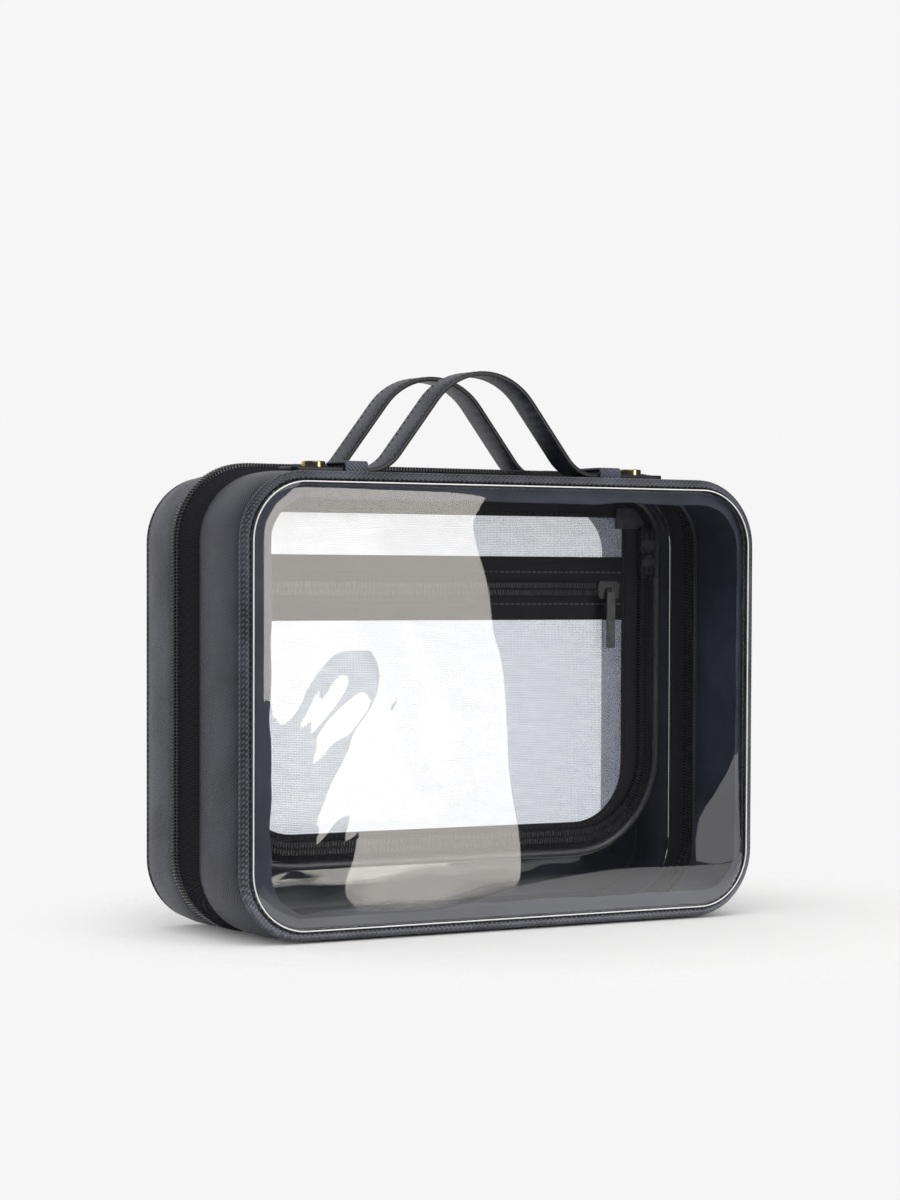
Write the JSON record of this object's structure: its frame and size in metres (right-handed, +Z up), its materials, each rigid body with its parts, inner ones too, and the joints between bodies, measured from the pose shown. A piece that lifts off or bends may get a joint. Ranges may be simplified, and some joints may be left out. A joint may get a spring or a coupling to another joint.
{
  "type": "makeup train case",
  "caption": "Two-tray train case with a clear front and back, leather walls, a zip all round, a zipped mesh divider inside and a strap handle on each tray.",
  "frame": {"origin": "middle of the bottom face the case stands on", "axes": "+X to the viewer's right along the width, +Y from the clear front towards the back, +Z up"},
  "size_m": [0.3181, 0.108, 0.282],
  "materials": {
    "leather": "matte",
    "saffiano": "cross-grained",
    "lining": "woven",
    "clear_film": "clear gloss",
    "zip_tape": "woven",
    "zip_coil": "satin",
    "piping": "smooth",
    "mesh": "sheer",
    "gold": "polished",
    "slider": "black satin",
    "pull": "matte"
  },
  "bodies": {
    "rear_tray": {"rear_gusset": "leather", "rear_lining": "lining", "rear_binding": "saffiano", "rear_border": "leather", "rear_window": "clear_film", "rear_zip_tape": "zip_tape", "rear_zip_coil": "zip_coil", "rear_hinge_strip": "leather", "rear_handle_ends": "leather", "rear_handle_keepers": "saffiano", "rear_handle_studs": "gold", "divider_border": "clear_film", "divider_piping": "piping", "divider_outer_tape": "zip_tape", "divider_outer_coil": "zip_coil"},
    "front_tray": {"front_gusset": "leather", "front_lining": "lining", "front_binding": "saffiano", "front_window": "clear_film", "front_zip_tape": "zip_tape", "front_zip_coil": "zip_coil", "front_hinge_strip": "leather", "front_handle_ends": "leather", "front_handle_keepers": "saffiano", "front_handle_studs": "gold"},
    "front_handle": {"front_handle_strap": "leather"},
    "rear_handle": {"rear_handle_strap": "leather"},
    "mesh_flap": {"flap_tape": "zip_tape", "flap_coil": "zip_coil", "mesh_panel": "mesh", "pocket_back": "mesh", "flap_end_tabs": "pull", "pocket_band": "zip_tape", "pocket_coil": "zip_coil", "divider_upper_slider": "slider"},
    "divider_upper_tag": {"divider_upper_pull": "pull"},
    "divider_lower_runner": {"divider_lower_slider": "slider"},
    "divider_lower_tag": {"divider_lower_pull": "pull"},
    "pocket_runner": {"pocket_slider": "slider"},
    "pocket_tag": {"pocket_pull": "pull"},
    "main_upper_runner": {"main_upper_slider": "slider"},
    "main_upper_tag": {"main_upper_pull": "pull"},
    "main_lower_runner": {"main_lower_slider": "slider"},
    "main_lower_tag": {"main_lower_pull": "pull"}
  },
  "joints": [
    {"name": "case_opening", "type": "hinge", "parent": "rear_tray", "child": "front_tray", "pos_m": [0, 0.009, -0.0003], "axis": [1, 0, 0], "range_deg": [0, 180]},
    {"name": "front_handle_fold", "type": "hinge", "parent": "front_tray", "child": "front_handle", "pos_m": [0, -0.02, 0.2422], "axis": [1, 0, 0], "range_deg": [-25, 80]},
    {"name": "rear_handle_fold", "type": "hinge", "parent": "rear_tray", "child": "rear_handle", "pos_m": [0, 0.031, 0.2422], "axis": [1, 0, 0], "range_deg": [-80, 25]},
    {"name": "flap_swing", "type": "hinge", "parent": "rear_tray", "child": "mesh_flap", "pos_m": [0, 0.018, 0.2173], "axis": [-1, 0, 0], "range_deg": [0, 18]},
    {"name": "divider_zip", "type": "slide", "parent": "mesh_flap", "child": "divider_lower_runner", "axis": [0, 0, -1], "range_m": [0, 0.09]},
    {"name": "divider_upper_tag_turn", "type": "hinge", "parent": "mesh_flap", "child": "divider_upper_tag", "pos_m": [0.13, 0.012, 0.202], "axis": [-1, 0, 0], "range_deg": [0, 120]},
    {"name": "divider_lower_tag_turn", "type": "hinge", "parent": "divider_lower_runner", "child": "divider_lower_tag", "pos_m": [0.13, 0.012, 0.18], "axis": [1, 0, 0], "range_deg": [0, 150]},
    {"name": "pocket_zip", "type": "slide", "parent": "mesh_flap", "child": "pocket_runner", "axis": [-1, 0, 0], "range_m": [0, 0.205]},
    {"name": "pocket_tag_turn", "type": "hinge", "parent": "pocket_runner", "child": "pocket_tag", "pos_m": [0.1045, 0.01095, 0.171], "axis": [-1, 0, 0], "range_deg": [0, 120]},
    {"name": "main_upper_zip", "type": "slide", "parent": "rear_tray", "child": "main_upper_runner", "axis": [0, 0, 1], "range_m": [0, 0.06]},
    {"name": "main_lower_zip", "type": "slide", "parent": "rear_tray", "child": "main_lower_runner", "axis": [0, 0, -1], "range_m": [0, 0.06]},
    {"name": "main_upper_tag_turn", "type": "hinge", "parent": "main_upper_runner", "child": "main_upper_tag", "pos_m": [0.15945, 0.009, 0.1255], "axis": [0, -1, 0], "range_deg": [0, 120]},
    {"name": "main_lower_tag_turn", "type": "hinge", "parent": "main_lower_runner", "child": "main_lower_tag", "pos_m": [0.15945, 0.009, 0.1035], "axis": [0, -1, 0], "range_deg": [0, 120]}
  ]
}
